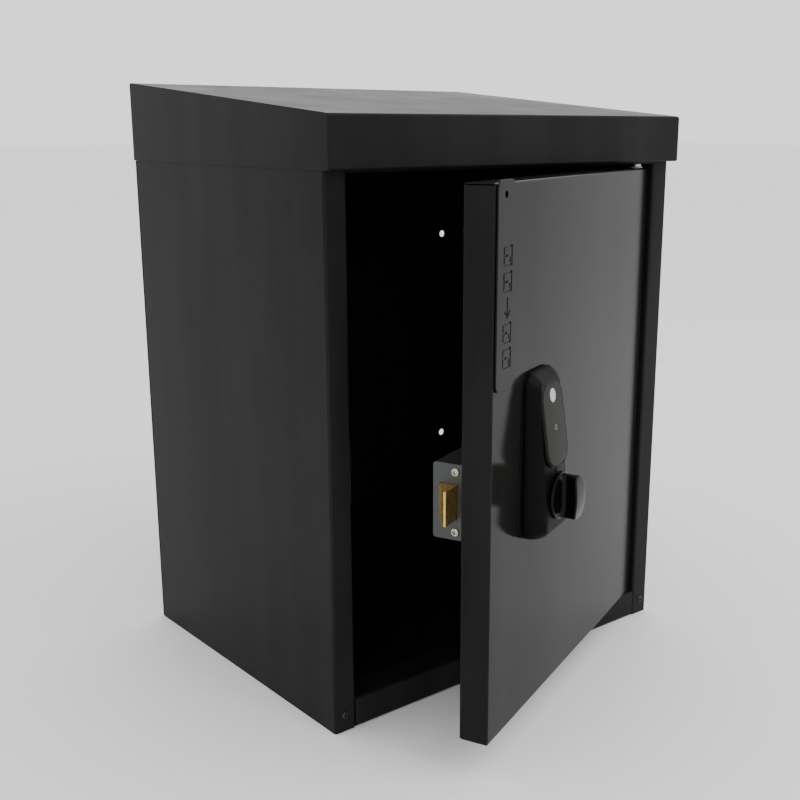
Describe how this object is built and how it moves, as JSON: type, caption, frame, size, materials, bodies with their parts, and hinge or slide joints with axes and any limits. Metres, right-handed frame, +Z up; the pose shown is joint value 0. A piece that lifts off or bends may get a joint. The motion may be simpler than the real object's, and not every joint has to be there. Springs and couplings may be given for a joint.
{
  "type": "parcel drop box",
  "caption": "Upright sheet steel parcel drop box with a sloping roof, a side-hung door standing open and a keypad rim latch with a turning knob.",
  "frame": {"origin": "middle of the base's underside, under the cabinet between its front and back planes", "axes": "+Z up, +Y to the back panel and the wall, +X to the right as seen from the front, where the hinge is"},
  "size_m": [0.445, 0.4986, 0.5898],
  "materials": {
    "cabinet_coat": "black powder coat, satin",
    "door_coat": "dark powder coat, semi-gloss",
    "black_fixings": "blackened steel",
    "zinc_steel": "zinc plated",
    "case_grey": "grey lacquer on pressed steel",
    "nickel": "nickel plated",
    "brass": "drawn brass, satin",
    "lock_black": "fine moulded texture",
    "panel_black": "satin touch surface",
    "knob_black": "polished",
    "disc_light": "printed light disc",
    "rubber": "matt",
    "bush_nylon": "moulded nylon",
    "board_green": "solder resist",
    "cell_wrap": "printed foil"
  },
  "bodies": {
    "cabinet": {"side_panel_left": "cabinet_coat", "side_panel_right": "cabinet_coat", "back_panel": "cabinet_coat", "base_pan": "cabinet_coat", "head_rail": "cabinet_coat", "roof_cover": "cabinet_coat", "roof_studs": "zinc_steel", "roof_nuts": "zinc_steel", "back_rail_left": "cabinet_coat", "back_rail_right": "cabinet_coat", "rail_rivets": "black_fixings", "stile_screws": "black_fixings", "stile_nuts": "zinc_steel", "stop_strip": "cabinet_coat", "door_buffers": "rubber", "keep_bracket": "zinc_steel", "keep_studs": "zinc_steel", "keep_nuts": "zinc_steel", "hinge_pin_lower": "nickel", "hinge_pin_upper": "nickel", "hinge_nuts": "zinc_steel"},
    "door": {"door_skin": "door_coat", "door_liner": "door_coat", "door_rivets": "black_fixings", "lock_channel": "zinc_steel", "hinge_bush_lower": "bush_nylon", "hinge_bush_upper": "bush_nylon", "sign_plate": "door_coat", "sign_nuts": "zinc_steel", "lock_gasket": "rubber", "lock_base": "zinc_steel", "lock_cover": "lock_black", "touch_panel": "panel_black", "status_disc": "disc_light", "control_board": "board_green", "clutch_motor": "zinc_steel", "lock_screws": "zinc_steel", "latch_plate": "zinc_steel", "latch_case": "case_grey", "bolt_guide": "zinc_steel", "face_screws": "nickel", "return_spring": "zinc_steel", "battery_tray": "lock_black", "battery_contacts": "nickel", "batteries": "cell_wrap"},
    "outer_knob": {"outer_knob": "knob_black", "spindle": "zinc_steel"},
    "inner_knob": {"inner_knob": "lock_black", "latch_cam": "zinc_steel"},
    "latch_bolt": {"latch_bolt": "brass"},
    "battery_cover": {"battery_cover": "lock_black"}
  },
  "joints": [
    {"name": "door_hinge", "type": "hinge", "parent": "cabinet", "child": "door", "pos_m": [0.1822, -0.1625, 0.27], "axis": [0, 0, 1], "range_deg": [-22.5, 82.5]},
    {"name": "inner_turn", "type": "hinge", "parent": "door", "child": "inner_knob", "pos_m": [-0.10561, -0.21136, 0.2355], "axis": [-0.3827, 0.9239, 0], "range_deg": [0, 70], "stiffness_Nm_per_rad": 0.1, "springref_deg": -17.19, "deforming": ["return_spring"]},
    {"name": "outer_turn", "type": "hinge", "parent": "door", "child": "outer_knob", "pos_m": [-0.06926, -0.29913, 0.2355], "axis": [-0.3827, 0.9239, 0], "range_deg": [0, 70]},
    {"name": "bolt_slide", "type": "slide", "parent": "door", "child": "latch_bolt", "axis": [0.9239, 0.3827, 0], "range_m": [0, 0.0195]},
    {"name": "battery_cover_slide", "type": "slide", "parent": "door", "child": "battery_cover", "axis": [0, 0, 1], "range_m": [0, 0.08]}
  ],
  "couplings": [
    {"joint": "inner_turn", "follows": "bolt_slide", "rad_per_m": 62.647},
    {"joint": "outer_turn", "follows": "bolt_slide", "rad_per_m": 62.647}
  ]
}
